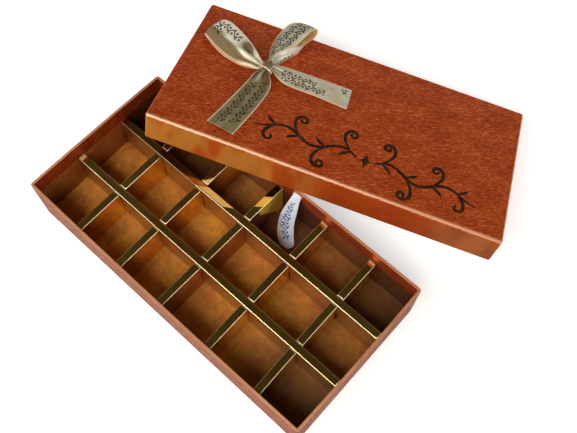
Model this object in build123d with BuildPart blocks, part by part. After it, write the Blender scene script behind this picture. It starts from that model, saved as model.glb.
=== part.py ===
from build123d import *
import math
import os

# A rigid two-piece gift box for chocolates: a tray with a loose partition grid, and its lid with a ribbon
# bow, taken off and lying over the tray's far side. Millimetres. The origin is the middle of the tray's
# underside, +X runs along the tray's long side, +Y towards the side that the lid lies over, +Z is up.

# Driving sizes: the tray
tray_length = 260.0
tray_width = 128.0
tray_height = 45.5
tray_corner_radius = 2.2
board = 1.5
paper = 0.25
tape = 0.12
tape_leg = 12.0
tape_margin = 4.0
tray_turn_in = 14.0
turn_under = 13.0
base_sheet_margin = 4.0
floor_card = 0.4
sheet_clearance = 0.3

# Driving sizes: the partition
channel_width = 5.9
channel_card = 0.45
divider_drop = 12.1
divider_end_clearance = 0.4
divider_rest_gap = 0.1
slot_clearance = 0.4
long_divider_shift = 0.9
cross_place_shares = (0.168, 0.333, 0.500, 0.677, 0.854)

# Driving sizes: the lid
lid_length = 265.0
lid_width = 133.4
lid_height = 23.3
lid_corner_radius = 2.0
lid_edge_radius = 1.4
lid_turn_in = 12.0
lid_yaw = 23.7
lid_rest_gap = 0.3
lid_corner_x = -91.5
lid_corner_slope = -49.4

# Driving sizes: the ribbon
ribbon_width = 20.0
ribbon_card = 0.4
glue_radius = 4.5
glue_height = 0.5
knot_from_left = 63.8
knot_from_front = 82.6
knot_length = 8.4
knot_width = 9.4
knot_height = 6.5
knot_corner_radius = 2.0
knot_edge_radius = 1.8
strip_width = 12.5
strip_card = 0.3
patch_size = 8.0
patch_height = 4.0
strip_top_x = 18.2
strip_top_drop = 1.6
band_steps = 4

# One overrun serves all cuts
overrun = 1.0

os.makedirs("parts", exist_ok=True)


def save(part, name, colour):
    """Label a finished piece and write it to its own file."""
    part.label = name
    part.color = Color(*colour)
    export_step(part, "parts/" + name + ".step")


def pull(sketch, height):
    """Extrude a finished sketch along its own plane's normal."""
    extrude(to_extrude=sketch.sketch, amount=height)


def cut(sketch, height):
    """Remove the extrusion of a finished sketch."""
    extrude(to_extrude=sketch.sketch, amount=height, mode=Mode.SUBTRACT)


# Sizes that follow from the ones above
wall = board + 2.0 * paper
inner_length = tray_length - 2.0 * wall
inner_width = tray_width - 2.0 * wall
board_length = tray_length - 2.0 * paper
board_width = tray_width - 2.0 * paper
board_inner_length = board_length - 2.0 * board
board_inner_width = board_width - 2.0 * board
board_radius = tray_corner_radius - paper
board_bottom = 2.0 * paper
floor_top = board_bottom + board
floor_sheet_top = floor_top + floor_card
rim_turn_bottom = tray_height - tray_turn_in

paper_colour = (0.62, 0.27, 0.12)
board_colour = (0.55, 0.52, 0.47)
brown_colour = (0.35, 0.18, 0.08)
gold_colour = (0.72, 0.55, 0.22)
ribbon_colour = (0.80, 0.77, 0.66)


# Tray board: a floor and four walls
with BuildPart() as tray_board:
    with BuildSketch(Plane.XY.offset(board_bottom)) as tray_board_outline:
        RectangleRounded(board_length, board_width, board_radius)
    pull(tray_board_outline, tray_height - paper - board_bottom)
    with BuildSketch(Plane.XY.offset(floor_top)) as tray_board_hollow:
        Rectangle(board_inner_length, board_inner_width)
    cut(tray_board_hollow, tray_height)
save(tray_board.part, "tray_board", board_colour)


# Corner tapes: each is an angle of thin paper stuck round one upright corner of a board
def corner_tapes(base_plane, length, width, radius, low, high):
    """Four angles that follow the outside of a rounded board, from one height to another."""
    with BuildPart() as tapes:
        with BuildSketch(base_plane.offset(low)) as ring:
            RectangleRounded(length + 2.0 * tape, width + 2.0 * tape, radius + tape)
            RectangleRounded(length, width, radius, mode=Mode.SUBTRACT)
            Rectangle(length - 2.0 * tape_leg, width + 2.0 * overrun, mode=Mode.SUBTRACT)
            Rectangle(length + 2.0 * overrun, width - 2.0 * tape_leg, mode=Mode.SUBTRACT)
        pull(ring, high - low)
    return tapes


tray_tapes = corner_tapes(
    Plane.XY, board_length, board_width, board_radius, board_bottom + tape_margin, tray_height - paper - tape_margin
)
save(tray_tapes.part, "tray_corner_tapes", board_colour)


# Tray wrap: the outer paper, over the rim, down the inside and under the floor
with BuildPart() as tray_wrap:
    with BuildSketch(Plane.XY.offset(paper)) as wrap_outline:
        RectangleRounded(tray_length, tray_width, tray_corner_radius)
    pull(wrap_outline, tray_height - paper)
    with BuildSketch(Plane.XY.offset(board_bottom)) as wrap_lower_hollow:
        RectangleRounded(board_length, board_width, board_radius)
    cut(wrap_lower_hollow, rim_turn_bottom - board_bottom)
    with BuildSketch(Plane.XY.offset(rim_turn_bottom)) as wrap_board_space:
        RectangleRounded(board_length, board_width, board_radius)
        Rectangle(board_inner_length, board_inner_width, mode=Mode.SUBTRACT)
    cut(wrap_board_space, tray_turn_in - paper)
    with BuildSketch(Plane.XY.offset(rim_turn_bottom)) as wrap_mouth:
        Rectangle(inner_length, inner_width)
    cut(wrap_mouth, tray_turn_in + overrun)
    with BuildSketch(Plane.XY) as wrap_underside:
        Rectangle(tray_length - 2.0 * turn_under, tray_width - 2.0 * turn_under)
    cut(wrap_underside, board_bottom + paper)
    add(tray_tapes.part, mode=Mode.SUBTRACT)
save(tray_wrap.part, "tray_wrap", paper_colour)


# Tray lining: a band of brown paper round the inside of the walls, below the turned-in wrap
with BuildPart() as tray_lining:
    with BuildSketch(Plane.XY.offset(floor_top)) as lining_outline:
        Rectangle(board_inner_length, board_inner_width)
        Rectangle(inner_length, inner_width, mode=Mode.SUBTRACT)
    pull(lining_outline, rim_turn_bottom - floor_top)
save(tray_lining.part, "tray_lining", brown_colour)


# Floor sheet and base sheet: brown card on the floor, and the paper that closes the underside
with BuildPart() as tray_floor_sheet:
    with BuildSketch(Plane.XY.offset(floor_top)) as floor_outline:
        Rectangle(inner_length - sheet_clearance, inner_width - sheet_clearance)
    pull(floor_outline, floor_card)
save(tray_floor_sheet.part, "tray_floor_sheet", brown_colour)

with BuildPart() as tray_base_sheet:
    with BuildSketch(Plane.XY) as base_outline:
        Rectangle(tray_length - 2.0 * base_sheet_margin, tray_width - 2.0 * base_sheet_margin)
    pull(base_outline, paper)
save(tray_base_sheet.part, "tray_base_sheet", board_colour)


# Partition grid: folded channels, flat on top and open below, that cross by half-lap slots
divider_bottom = floor_sheet_top + divider_rest_gap
divider_top = tray_height - divider_drop
divider_height = divider_top - divider_bottom
divider_middle = divider_bottom + divider_height / 2.0
slot_width = channel_width + 2.0 * slot_clearance
long_divider_length = inner_length - 2.0 * divider_end_clearance
cross_divider_length = inner_width - 2.0 * divider_end_clearance
row_pitch = (inner_width - 2.0 * channel_width) / 3.0 + channel_width
long_divider_places = (long_divider_shift - row_pitch / 2.0, long_divider_shift + row_pitch / 2.0)
cross_divider_places = [share * inner_length - inner_length / 2.0 for share in cross_place_shares]


def channel(length, along_x):
    """A straight folded channel through the middle of the tray, before its slots are cut."""
    size_x = length if along_x else channel_width
    size_y = channel_width if along_x else length
    hollow_x = length + 2.0 * overrun if along_x else channel_width - 2.0 * channel_card
    hollow_y = channel_width - 2.0 * channel_card if along_x else length + 2.0 * overrun
    with BuildSketch(Plane.XY.offset(divider_bottom)) as channel_outline:
        Rectangle(size_x, size_y)
    pull(channel_outline, divider_height)
    with BuildSketch(Plane.XY.offset(divider_bottom)) as channel_hollow:
        Rectangle(hollow_x, hollow_y)
    cut(channel_hollow, divider_height - channel_card)


# Each long strip is made at the tray's middle, slotted from below, then set in its place
with BuildPart() as long_divider:
    channel(long_divider_length, along_x=True)
    with BuildSketch(Plane.XY.offset(divider_bottom - overrun)) as long_slots:
        with Locations(*[(place, 0) for place in cross_divider_places]):
            Rectangle(slot_width, channel_width + 2.0 * overrun)
    cut(long_slots, divider_middle + slot_clearance - divider_bottom + overrun)

for long_name, long_place in zip(("divider_long_near", "divider_long_far"), long_divider_places):
    with BuildPart() as placed_long:
        with Locations((0, long_place, 0)):
            add(long_divider.part)
    save(placed_long.part, long_name, gold_colour)


# Each cross strip is notched from above where the long strips pass over it
with BuildPart() as cross_divider:
    channel(cross_divider_length, along_x=False)
    with BuildSketch(Plane.XY.offset(divider_middle - slot_clearance)) as cross_notches:
        with Locations(*[(0, place) for place in long_divider_places]):
            Rectangle(channel_width + 2.0 * overrun, slot_width)
    cut(cross_notches, divider_height)

for cross_index, cross_place in enumerate(cross_divider_places, start=1):
    with BuildPart() as placed_cross:
        with Locations((cross_place, 0, 0)):
            add(cross_divider.part)
    save(placed_cross.part, "divider_cross_" + str(cross_index), gold_colour)


# The lid leans on the tray's far rim and touches the table with its far right corner. The plane of its
# lower edges holds the rim's outer edge, so its tilt follows from how far down the slope that corner is.
yaw_sine = math.sin(math.radians(lid_yaw))
yaw_cosine = math.cos(math.radians(lid_yaw))
table_corner_slope = lid_corner_slope + lid_length * yaw_sine + lid_width * yaw_cosine
tilt_sine = tray_height / table_corner_slope
tilt_cosine = math.sqrt(1.0 - tilt_sine * tilt_sine)
slope_dir = Vector(0, tilt_cosine, -tilt_sine)
lid_up = Vector(0, tilt_sine, tilt_cosine)
lid_along = Vector(1, 0, 0) * yaw_cosine + slope_dir * yaw_sine
rim_edge = Vector(0, tray_width / 2.0, tray_height + lid_rest_gap)
lid_corner = rim_edge + Vector(1, 0, 0) * lid_corner_x + slope_dir * lid_corner_slope
lid_across = lid_up.cross(lid_along)
lid_centre = lid_corner + lid_along * (lid_length / 2.0) + lid_across * (lid_width / 2.0)
lid_plane = Plane(origin=lid_centre, x_dir=lid_along, z_dir=lid_up)
lid_axis = Axis(lid_centre, lid_up)
lid_board_length = lid_length - 2.0 * paper
lid_board_width = lid_width - 2.0 * paper
lid_board_radius = lid_corner_radius - paper
lid_board_top = lid_height - paper
lid_inner_top = lid_board_top - board
lid_inner_length = lid_length - 2.0 * wall
lid_inner_width = lid_width - 2.0 * wall


def rounded_block(length, width, corner_radius, low, high, edge_radius):
    """A block on the lid's plane, with its upright corners and its upper edges rounded."""
    with BuildSketch(lid_plane.offset(low)) as block_outline:
        RectangleRounded(length, width, corner_radius)
    pull(block_outline, high - low)
    fillet(faces().sort_by(lid_axis)[-1].edges(), edge_radius)


# Lid board: a top and four walls
with BuildPart() as lid_board:
    rounded_block(lid_board_length, lid_board_width, lid_board_radius, paper, lid_board_top, lid_edge_radius - paper)
    with BuildSketch(lid_plane) as lid_board_hollow:
        Rectangle(lid_board_length - 2.0 * board, lid_board_width - 2.0 * board)
    cut(lid_board_hollow, lid_inner_top)
save(lid_board.part, "lid_board", board_colour)

lid_tapes = corner_tapes(
    lid_plane, lid_board_length, lid_board_width, lid_board_radius, paper + tape_margin, lid_board_top - tape_margin
)
save(lid_tapes.part, "lid_corner_tapes", board_colour)


# Lid wrap: the outer paper, round the lower edge and up the inside
with BuildPart() as lid_wrap_core:
    rounded_block(lid_board_length, lid_board_width, lid_board_radius, paper, lid_board_top, lid_edge_radius - paper)

with BuildPart() as lid_wrap:
    rounded_block(lid_length, lid_width, lid_corner_radius, 0, lid_height, lid_edge_radius)
    add(lid_wrap_core.part, mode=Mode.SUBTRACT)
    with BuildSketch(lid_plane.offset(-overrun)) as lid_mouth:
        Rectangle(lid_inner_length, lid_inner_width)
    cut(lid_mouth, overrun + lid_turn_in)
    with BuildSketch(lid_plane) as lid_turn_in_band:
        Rectangle(lid_board_length - 2.0 * board, lid_board_width - 2.0 * board)
        Rectangle(lid_inner_length, lid_inner_width, mode=Mode.SUBTRACT)
    pull(lid_turn_in_band, lid_turn_in)
    add(lid_tapes.part, mode=Mode.SUBTRACT)
save(lid_wrap.part, "lid_wrap", paper_colour)


# Lid lining: a sheet on the inside of the top
with BuildPart() as lid_lining:
    with BuildSketch(lid_plane.offset(lid_inner_top - paper)) as lid_lining_outline:
        Rectangle(lid_inner_length - sheet_clearance, lid_inner_width - sheet_clearance)
    pull(lid_lining_outline, paper)
save(lid_lining.part, "lid_lining", board_colour)


# Bow: every strand is a ruled band between two edges. The edges are given at a few stations as shares of
# the ribbon's width, measured along the lid, across it and up from its top, from the knot's centre.
left_loop_shares = (
    ((-0.23, -0.14, 0.17), (-0.24, 0.01, 0.27)),
    ((-0.35, -0.27, 0.12), (-0.32, 0.08, 0.35)),
    ((-0.66, -0.26, 0.10), (-0.48, 0.20, 0.44)),
    ((-0.99, -0.30, 0.10), (-0.69, 0.36, 0.52)),
    ((-1.40, -0.19, 0.10), (-0.98, 0.58, 0.58)),
    ((-1.76, -0.07, 0.10), (-1.37, 0.83, 0.62)),
    ((-2.21, 0.17, 0.11), (-1.77, 1.08, 0.62)),
    ((-2.57, 0.39, 0.15), (-2.06, 1.24, 0.57)),
    ((-2.72, 0.48, 0.19), (-2.29, 1.30, 0.48)),
    ((-2.77, 0.55, 0.12), (-2.44, 1.33, 0.30)),
    ((-2.65, 0.52, 0.04), (-2.28, 1.25, 0.13)),
    ((-2.25, 0.19, 0.03), (-1.82, 1.07, 0.05)),
    ((-1.78, -0.09, 0.03), (-1.36, 0.79, 0.04)),
    ((-1.36, -0.23, 0.03), (-1.00, 0.59, 0.04)),
    ((-1.00, -0.29, 0.03), (-0.72, 0.38, 0.06)),
    ((-0.64, -0.27, 0.03), (-0.46, 0.16, 0.07)),
    ((-0.32, -0.22, 0.05), (-0.24, 0.01, 0.11)),
)
right_loop_shares = (
    ((-0.04, 0.27, 0.20), (0.03, 0.31, 0.28)),
    ((-0.13, 0.62, 0.23), (0.12, 0.59, 0.35)),
    ((-0.18, 0.91, 0.28), (0.34, 0.77, 0.41)),
    ((-0.17, 1.25, 0.34), (0.54, 0.95, 0.47)),
    ((-0.12, 1.62, 0.39), (0.70, 1.15, 0.53)),
    ((-0.04, 1.94, 0.44), (0.82, 1.48, 0.59)),
    ((0.06, 2.21, 0.49), (0.94, 1.80, 0.65)),
    ((0.21, 2.38, 0.55), (1.07, 2.11, 0.70)),
    ((0.41, 2.50, 0.57), (1.22, 2.34, 0.68)),
    ((0.52, 2.62, 0.49), (1.24, 2.42, 0.56)),
    ((0.52, 2.56, 0.37), (1.27, 2.36, 0.47)),
    ((0.50, 2.35, 0.25), (1.23, 2.09, 0.45)),
    ((0.62, 2.01, 0.10), (1.16, 1.64, 0.53)),
    ((0.85, 1.61, 0.04), (1.06, 1.18, 0.62)),
    ((0.82, 1.36, 0.03), (0.86, 0.98, 0.65)),
    ((0.65, 1.06, 0.03), (0.65, 0.82, 0.62)),
    ((0.49, 0.73, 0.04), (0.43, 0.66, 0.57)),
    ((0.36, 0.43, 0.06), (0.23, 0.51, 0.47)),
    ((0.19, 0.27, 0.13), (0.08, 0.32, 0.34)),
)
left_tail_shares = (
    ((0.13, -0.25, 0.12), (-0.14, -0.29, 0.13)),
    ((0.26, -0.45, 0.13), (-0.34, -0.43, 0.10)),
    ((0.39, -0.72, 0.12), (-0.43, -0.85, 0.12)),
    ((0.45, -1.11, 0.08), (-0.55, -1.37, 0.10)),
    ((0.36, -1.80, 0.04), (-0.71, -1.94, 0.06)),
    ((0.16, -2.76, 0.03), (-0.92, -2.71, 0.03)),
    ((-0.06, -3.68, 0.03), (-1.13, -3.47, 0.03)),
)
right_tail_shares = (
    ((0.24, -0.02, 0.12), (0.23, 0.25, 0.13)),
    ((0.47, -0.30, 0.12), (0.55, 0.31, 0.15)),
    ((0.80, -0.49, 0.09), (0.95, 0.35, 0.13)),
    ((1.33, -0.50, 0.04), (1.47, 0.42, 0.08)),
    ((2.22, -0.51, 0.03), (2.32, 0.47, 0.04)),
    ((3.39, -0.61, 0.03), (3.34, 0.47, 0.03)),
)


def between(points, steps):
    """More points on the smooth curve that passes through the given ones."""
    ends = [points[0]] + list(points) + [points[-1]]
    dense = []
    for index in range(1, len(ends) - 2):
        before, start, end, after = ends[index - 1:index + 3]
        for step in range(steps):
            t = step / steps
            straight = start * 2.0 + (end - before) * t
            bend = (before * 2.0 - start * 5.0 + end * 4.0 - after) * (t * t)
            twist = (start * 3.0 - before - end * 3.0 + after) * (t * t * t)
            dense.append((straight + bend + twist) * 0.5)
    dense.append(points[-1])
    return dense


def band(edge_pairs, thickness):
    """A thin ruled solid through flat stations, each spanning from one edge point to the other."""
    lows = between([low for low, high in edge_pairs], band_steps)
    highs = between([high for low, high in edge_pairs], band_steps)
    middles = [(low + high) * 0.5 for low, high in zip(lows, highs)]
    with BuildPart() as strand:
        for index, (low, high) in enumerate(zip(lows, highs)):
            before = middles[max(index - 1, 0)]
            after = middles[min(index + 1, len(middles) - 1)]
            across = (high - low).normalized()
            along = after - before
            square = (along - across * along.dot(across)).normalized()
            with BuildSketch(Plane(origin=middles[index], x_dir=across, z_dir=square)):
                Rectangle((high - low).length, thickness)
        loft(ruled=True)
    return strand


lid_corner_plane = Plane(origin=lid_corner, x_dir=lid_along, z_dir=lid_up)


def on_lid(shares):
    """A point given in shares of the ribbon's width from the knot, as a place in the part's frame."""
    along = knot_from_left + shares[0] * ribbon_width
    across = knot_from_front + shares[1] * ribbon_width
    return lid_corner_plane.from_local_coords(Vector(along, across, lid_height + shares[2] * ribbon_width))


for strand_name, strand_shares in (
    ("bow_left_loop", left_loop_shares),
    ("bow_right_loop", right_loop_shares),
    ("bow_left_tail", left_tail_shares),
    ("bow_right_tail", right_tail_shares),
):
    strand_pairs = [(on_lid(low), on_lid(high)) for low, high in strand_shares]
    save(band(strand_pairs, ribbon_card).part, strand_name, ribbon_colour)

# Knot and glue dot: the ribbon's wound middle, stuck to the lid
knot_plane = Plane(origin=on_lid((0, 0, 0)), x_dir=lid_along, z_dir=lid_up)
with BuildPart() as bow_glue_dot:
    with BuildSketch(knot_plane) as glue_outline:
        Circle(glue_radius)
    pull(glue_outline, glue_height)
save(bow_glue_dot.part, "bow_glue_dot", board_colour)

with BuildPart() as bow_knot:
    with BuildSketch(knot_plane.offset(glue_height)) as knot_outline:
        RectangleRounded(knot_length, knot_width, knot_corner_radius)
    pull(knot_outline, knot_height)
    fillet(faces().sort_by(lid_axis)[-1].edges(), knot_edge_radius)
save(bow_knot.part, "bow_knot", ribbon_colour)


# Loose ribbon strip: glued near the rim inside the far wall, hanging down and out over the floor. Its
# middle line is given in shares of its own width from its top, and each width is a share as well.
far_wall_face = tray_width / 2.0 - wall
strip_top = Vector(strip_top_x, far_wall_face - paper - strip_card, tray_height - strip_top_drop)
strip_middle_shares = (
    (0.00, 0.00, 0.00),
    (-0.02, -0.34, -0.66),
    (0.00, -0.70, -1.44),
    (0.10, -1.06, -2.22),
    (0.32, -1.36, -2.86),
    (0.60, -1.60, -3.24),
    (0.96, -1.82, -3.26),
)
strip_across_shares = ((0.62, 0.04), (0.60, 0.36), (0.68, 0.62), (0.70, 0.68), (0.74, 0.67), (0.74, 0.67), (0.64, 0.56))
strip_pairs = []
for middle, across in zip(strip_middle_shares, strip_across_shares):
    strip_middle = strip_top + Vector(*middle) * strip_width
    strip_half = Vector(across[0], across[1], 0) * (strip_width / 2.0)
    strip_pairs.append((strip_middle - strip_half, strip_middle + strip_half))
save(band(strip_pairs, strip_card).part, "loose_ribbon", ribbon_colour)

with BuildPart() as loose_ribbon_patch:
    with BuildSketch(Plane.XZ.offset(-far_wall_face)) as patch_outline:
        with Locations((strip_top_x, tray_height - strip_top_drop - patch_height / 2.0)):
            Rectangle(patch_size, patch_height)
    pull(patch_outline, paper)
save(loose_ribbon_patch.part, "loose_ribbon_patch", board_colour)
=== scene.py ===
"""Looks of the chocolate box: open tray with a partition grid, lid leaning on its rim, ribbon bow on the lid."""
import math

import bmesh
import bpy
from mathutils import Matrix, Vector


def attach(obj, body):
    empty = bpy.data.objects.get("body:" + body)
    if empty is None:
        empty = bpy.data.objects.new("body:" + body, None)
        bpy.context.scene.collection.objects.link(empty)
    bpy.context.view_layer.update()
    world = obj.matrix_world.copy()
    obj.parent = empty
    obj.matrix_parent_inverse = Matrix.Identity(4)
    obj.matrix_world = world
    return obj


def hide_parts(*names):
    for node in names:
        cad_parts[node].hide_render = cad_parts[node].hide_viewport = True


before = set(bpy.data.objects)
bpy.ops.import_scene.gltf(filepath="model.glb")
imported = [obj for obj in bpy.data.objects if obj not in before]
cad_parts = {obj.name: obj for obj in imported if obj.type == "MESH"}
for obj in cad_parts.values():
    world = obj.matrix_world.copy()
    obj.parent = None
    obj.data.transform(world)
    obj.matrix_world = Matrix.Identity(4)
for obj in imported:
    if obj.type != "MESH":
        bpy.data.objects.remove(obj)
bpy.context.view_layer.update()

# Sizes are in millimetres and become metres where a mesh is made. The floor's and the lamps' are in metres.
MM = 0.001
TRAY_LENGTH, TRAY_WIDTH, TRAY_HEIGHT = 260.0, 128.0, 45.5
LID_LENGTH, LID_WIDTH, LID_HEIGHT = 265.0, 133.4, 23.3
LID_YAW = math.radians(23.7)
LID_CORNER_X, LID_CORNER_SLOPE, LID_REST_GAP = -91.5, -49.4, 0.3
RIBBON_WIDTH = 20.0
KNOT_LEFT, KNOT_FRONT = 63.8, 82.6

# The lid's own axes: along its length, across it, and up from its top
table_corner = LID_CORNER_SLOPE + LID_LENGTH * math.sin(LID_YAW) + LID_WIDTH * math.cos(LID_YAW)
tilt_sine = TRAY_HEIGHT / table_corner
tilt_cosine = math.sqrt(1.0 - tilt_sine * tilt_sine)
slope = Vector((0.0, tilt_cosine, -tilt_sine))
lid_up = Vector((0.0, tilt_sine, tilt_cosine))
lid_along = Vector((1.0, 0.0, 0.0)) * math.cos(LID_YAW) + slope * math.sin(LID_YAW)
lid_across = lid_up.cross(lid_along)
rim_edge_point = Vector((LID_CORNER_X, TRAY_WIDTH / 2.0, TRAY_HEIGHT + LID_REST_GAP))
lid_corner = rim_edge_point + slope * LID_CORNER_SLOPE


def on_lid(a, b, h):
    """The place that is so far along, across and above the lid's lower front left corner."""
    return lid_corner + lid_along * a + lid_across * b + lid_up * h


def by_lid(offset):
    """An offset or a direction, along the lid's own axes."""
    return Vector((offset.dot(lid_along), offset.dot(lid_across), offset.dot(lid_up)))


# ---- Materials


class Tree:
    """A new material's or world's node tree. A value is a number, a vector, a colour or another node's output."""

    def __init__(self, name, owners="materials", out_kind="OutputMaterial"):
        self.owner = getattr(bpy.data, owners).new(name)
        self.owner.use_nodes = True
        self.nodes, self.links = self.owner.node_tree.nodes, self.owner.node_tree.links
        self.nodes.clear()
        self.out = self.add(out_kind)
        self.colour = None

    def feed(self, socket, value):
        if isinstance(value, bpy.types.NodeSocket):
            self.links.new(value, socket)
        else:
            socket.default_value = (*value, 1.0) if socket.type == "RGBA" else value

    def add(self, kind, inputs=None, **settings):
        made = self.nodes.new("ShaderNode" + kind)
        for key, value in settings.items():
            setattr(made, key, value)
        for key, value in (inputs or {}).items():
            self.feed(made.inputs[key], value)
        return made

    def math(self, operation, *values):
        return self.add("Math", dict(enumerate(values)), operation=operation).outputs[0]

    def chain(self, operation, value, *others):
        for other in others:
            value = self.math(operation, value, other)
        return value

    def times(self, *values):
        return self.chain("MULTIPLY", *values)

    def most(self, *values):
        return self.chain("MAXIMUM", *values)

    def apart(self, first, second):
        return self.math("ABSOLUTE", self.math("SUBTRACT", first, second))

    def distance(self, first, second):
        """How far a place is from a middle, by its two offsets from it."""
        return self.math("SQRT", self.math("ADD", self.times(first, first), self.times(second, second)))

    def vector_math(self, operation, first, second):
        return self.add("VectorMath", {0: first, 1: second}, operation=operation)

    def place(self):
        """Coordinates on the object, in metres."""
        return self.add("TexCoord").outputs["Object"]

    def split(self, vector):
        return self.add("SeparateXYZ", {0: vector}).outputs

    def noise(self, vector, scale, detail=2.0, roughness=0.5, distortion=0.0, turn=0.0, output="Fac"):
        """Noise. With a scale for each axis, its pattern is first turned about Z."""
        if isinstance(scale, tuple):
            turned = self.add("Mapping", {"Vector": vector, "Rotation": (0.0, 0.0, turn)}).outputs[0]
            vector, scale = self.add("Mapping", {"Vector": turned, "Scale": scale}).outputs[0], 1.0
        inputs = {"Vector": vector, "Scale": scale, "Detail": detail, "Roughness": roughness, "Distortion": distortion}
        return self.add("TexNoise", inputs).outputs[output]

    def band(self, value, low, high, to_low=0.0, to_high=1.0):
        """A smooth step from to_low below low to to_high above high."""
        inputs = {0: value, 1: low, 2: high, 3: to_low, 4: to_high}
        return self.add("MapRange", inputs, interpolation_type="SMOOTHSTEP").outputs[0]

    def base(self, factor, *stops):
        """Starts the colour with a ramp."""
        ramp = self.add("ValToRGB", {0: factor})
        elements = ramp.color_ramp.elements
        while len(elements) < len(stops):
            elements.new(0.5)
        for element, (place, colour) in zip(elements, stops):
            element.position = place
            element.color = (*colour, 1.0)
        self.colour = ramp.outputs["Color"]

    def paint(self, colour, *shares):
        """Lays another colour over it, as far as the product of the shares."""
        mix = self.add("Mix", data_type="RGBA")
        for socket, value in zip([s for s in mix.inputs if s.enabled], (self.times(*shares), self.colour, colour)):
            self.feed(socket, value)
        self.colour = [s for s in mix.outputs if s.enabled][0]

    def bump(self, strength, distance, height):
        """A bumped normal. The distance is in metres."""
        inputs = {"Strength": strength, "Distance": distance, "Height": height}
        return self.add("Bump", inputs).outputs[0]

    def finish(self, shader):
        self.links.new(shader.outputs[0], self.out.inputs["Surface"])
        return self.owner

    def surface(self, **inputs):
        """Finishes a material with a principled shader. Its inputs are named with _ for a space."""
        named = {key.replace("_", " "): value for key, value in inputs.items()}
        return self.finish(self.add("BsdfPrincipled", {"Base Color": self.colour, **named}))


def tinted(colour, red, green, blue):
    """A colour with each of its parts multiplied by a share."""
    return tuple(min(1.0, share * part) for share, part in zip((red, green, blue), colour))


def dimmed(colour, share):
    return tinted(colour, share, share, share)


# The embossed wrap: the slant of its strokes, the painted glint on their crests and the painted shade in their hollows
STROKE_TURN = math.radians(-17.0)
CREST_GLINT, HOLLOW_SHADE = (0.88, 0.3, 0.11), (0.17, 0.016, 0.002)
# Painted light on the lid's front wall: a painted gold reflection towards its left, painted shade towards its right,
# a painted highlight on its upper edge
WALL_GOLD_REFLECTION, WALL_PAINTED_SHADE, EDGE_SHINE = (0.56, 0.215, 0.034), (0.17, 0.034, 0.005), (0.92, 0.51, 0.31)


def light_lid_front(tree, uv, strokes):
    """Painted light on the lid's front wall, which stands over the tray: a painted gold reflection, painted shade, and
    a painted highlight on the edge above it. The sheet's second coordinate is 0 at that edge and goes down the wall."""
    across, fall = tree.split(uv)[:2]
    wall = tree.band(fall, -1.0, -4.0)
    # Painted shade towards the right, a painted gold reflection towards the left, a painted highlight on the edge
    tree.paint(WALL_PAINTED_SHADE, wall, tree.band(across, 200.0, 235.0, 0.08, 0.8))
    gold_reflection_pools = tree.noise(uv, (0.045, 0.022, 1.0))
    reach = tree.math("ADD", tree.band(across, 95.0, 155.0, 0.95, 0.05), tree.band(across, 195.0, 240.0, 0.0, 0.22))
    tree.paint(WALL_GOLD_REFLECTION, tree.band(gold_reflection_pools, 0.36, 0.62, 0.1, 1.0), reach, wall)
    ragged = tree.math("MULTIPLY_ADD", tree.math("SUBTRACT", strokes, 0.5), 5.0, fall)
    above, below = tree.band(ragged, 2.3, 1.1), tree.band(ragged, -2.2, -1.2)
    tree.paint(EDGE_SHINE, above, below, tree.band(across, 40.0, 255.0, 0.95, 0.6))


def wrap_paper(name, light, dark, metal, gloss, strokes_shown, lid_front=False):
    """Copper gift wrap, embossed with fine wavy strokes, with painted glints on their crests and painted shade in
    their hollows. Its UV map is the unfolded sheet in millimetres. The lid's front wall shows its strokes less and
    takes painted light."""
    tree = Tree(name)
    uv = tree.add("UVMap", uv_map="sheet").outputs[0]
    warp = tree.vector_math("MULTIPLY", tree.noise(uv, 0.11, 1.0, output="Color"), (3.0, 3.0, 0.0)).outputs[0]
    wavy = tree.vector_math("ADD", uv, warp).outputs[0]
    strokes = tree.noise(wavy, (0.17, 1.45, 1.0), 3.0, 0.66, 0.8, STROKE_TURN)
    fine = tree.noise(wavy, (0.34, 2.7, 1.0), 2.0, 0.6, 0.7, STROKE_TURN)
    patches = tree.noise(uv, (0.035, 0.07, 1.0), 3.0, 0.55, turn=STROKE_TURN)
    relief = tree.math("ADD", tree.times(strokes, 0.5), tree.times(fine, 0.5))
    relief = tree.math("ADD", relief, tree.band(patches, 0.35, 0.68, -0.012, 0.012))
    shown = strokes_shown
    if lid_front:
        shown = tree.band(tree.split(uv)[1], 0.0, -3.0, strokes_shown, 0.25 * strokes_shown)
    tree.base(patches, (0.32, dark), (0.68, light))
    # Painted glints on the strokes' crests and painted shade in their hollows
    tree.paint(CREST_GLINT, tree.band(relief, 0.532, 0.588), shown, 0.62)
    tree.paint(HOLLOW_SHADE, tree.band(relief, 0.49, 0.38), shown, 0.78)
    if lid_front:
        light_lid_front(tree, uv, strokes)
    rough, normal = tree.band(relief, 0.32, 0.68, 0.52, 0.36), tree.bump(0.4, 0.0003, relief)
    return tree.surface(Metallic=metal, Specular_IOR_Level=gloss, Roughness=rough, Normal=normal)


# Painted shade on the far row's cells, where the lid shades them: where each starts and ends along the tray, and
# how dark it is
FAR_ROW_SHADES = ((-42.0, -1.0, 0.45), (0.5, 44.5, 0.82), (46.5, 89.0, 0.22))
# The colours of that painted shade, of the painted shade on the cells towards the right end, and of the painted
# shadow on those that the lid covers
FAR_SHADE, RIGHT_SHADE, COVERED_SHADE = (0.045, 0.006, 0.009), (0.03, 0.012, 0.004), (0.02, 0.006, 0.003)


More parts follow.
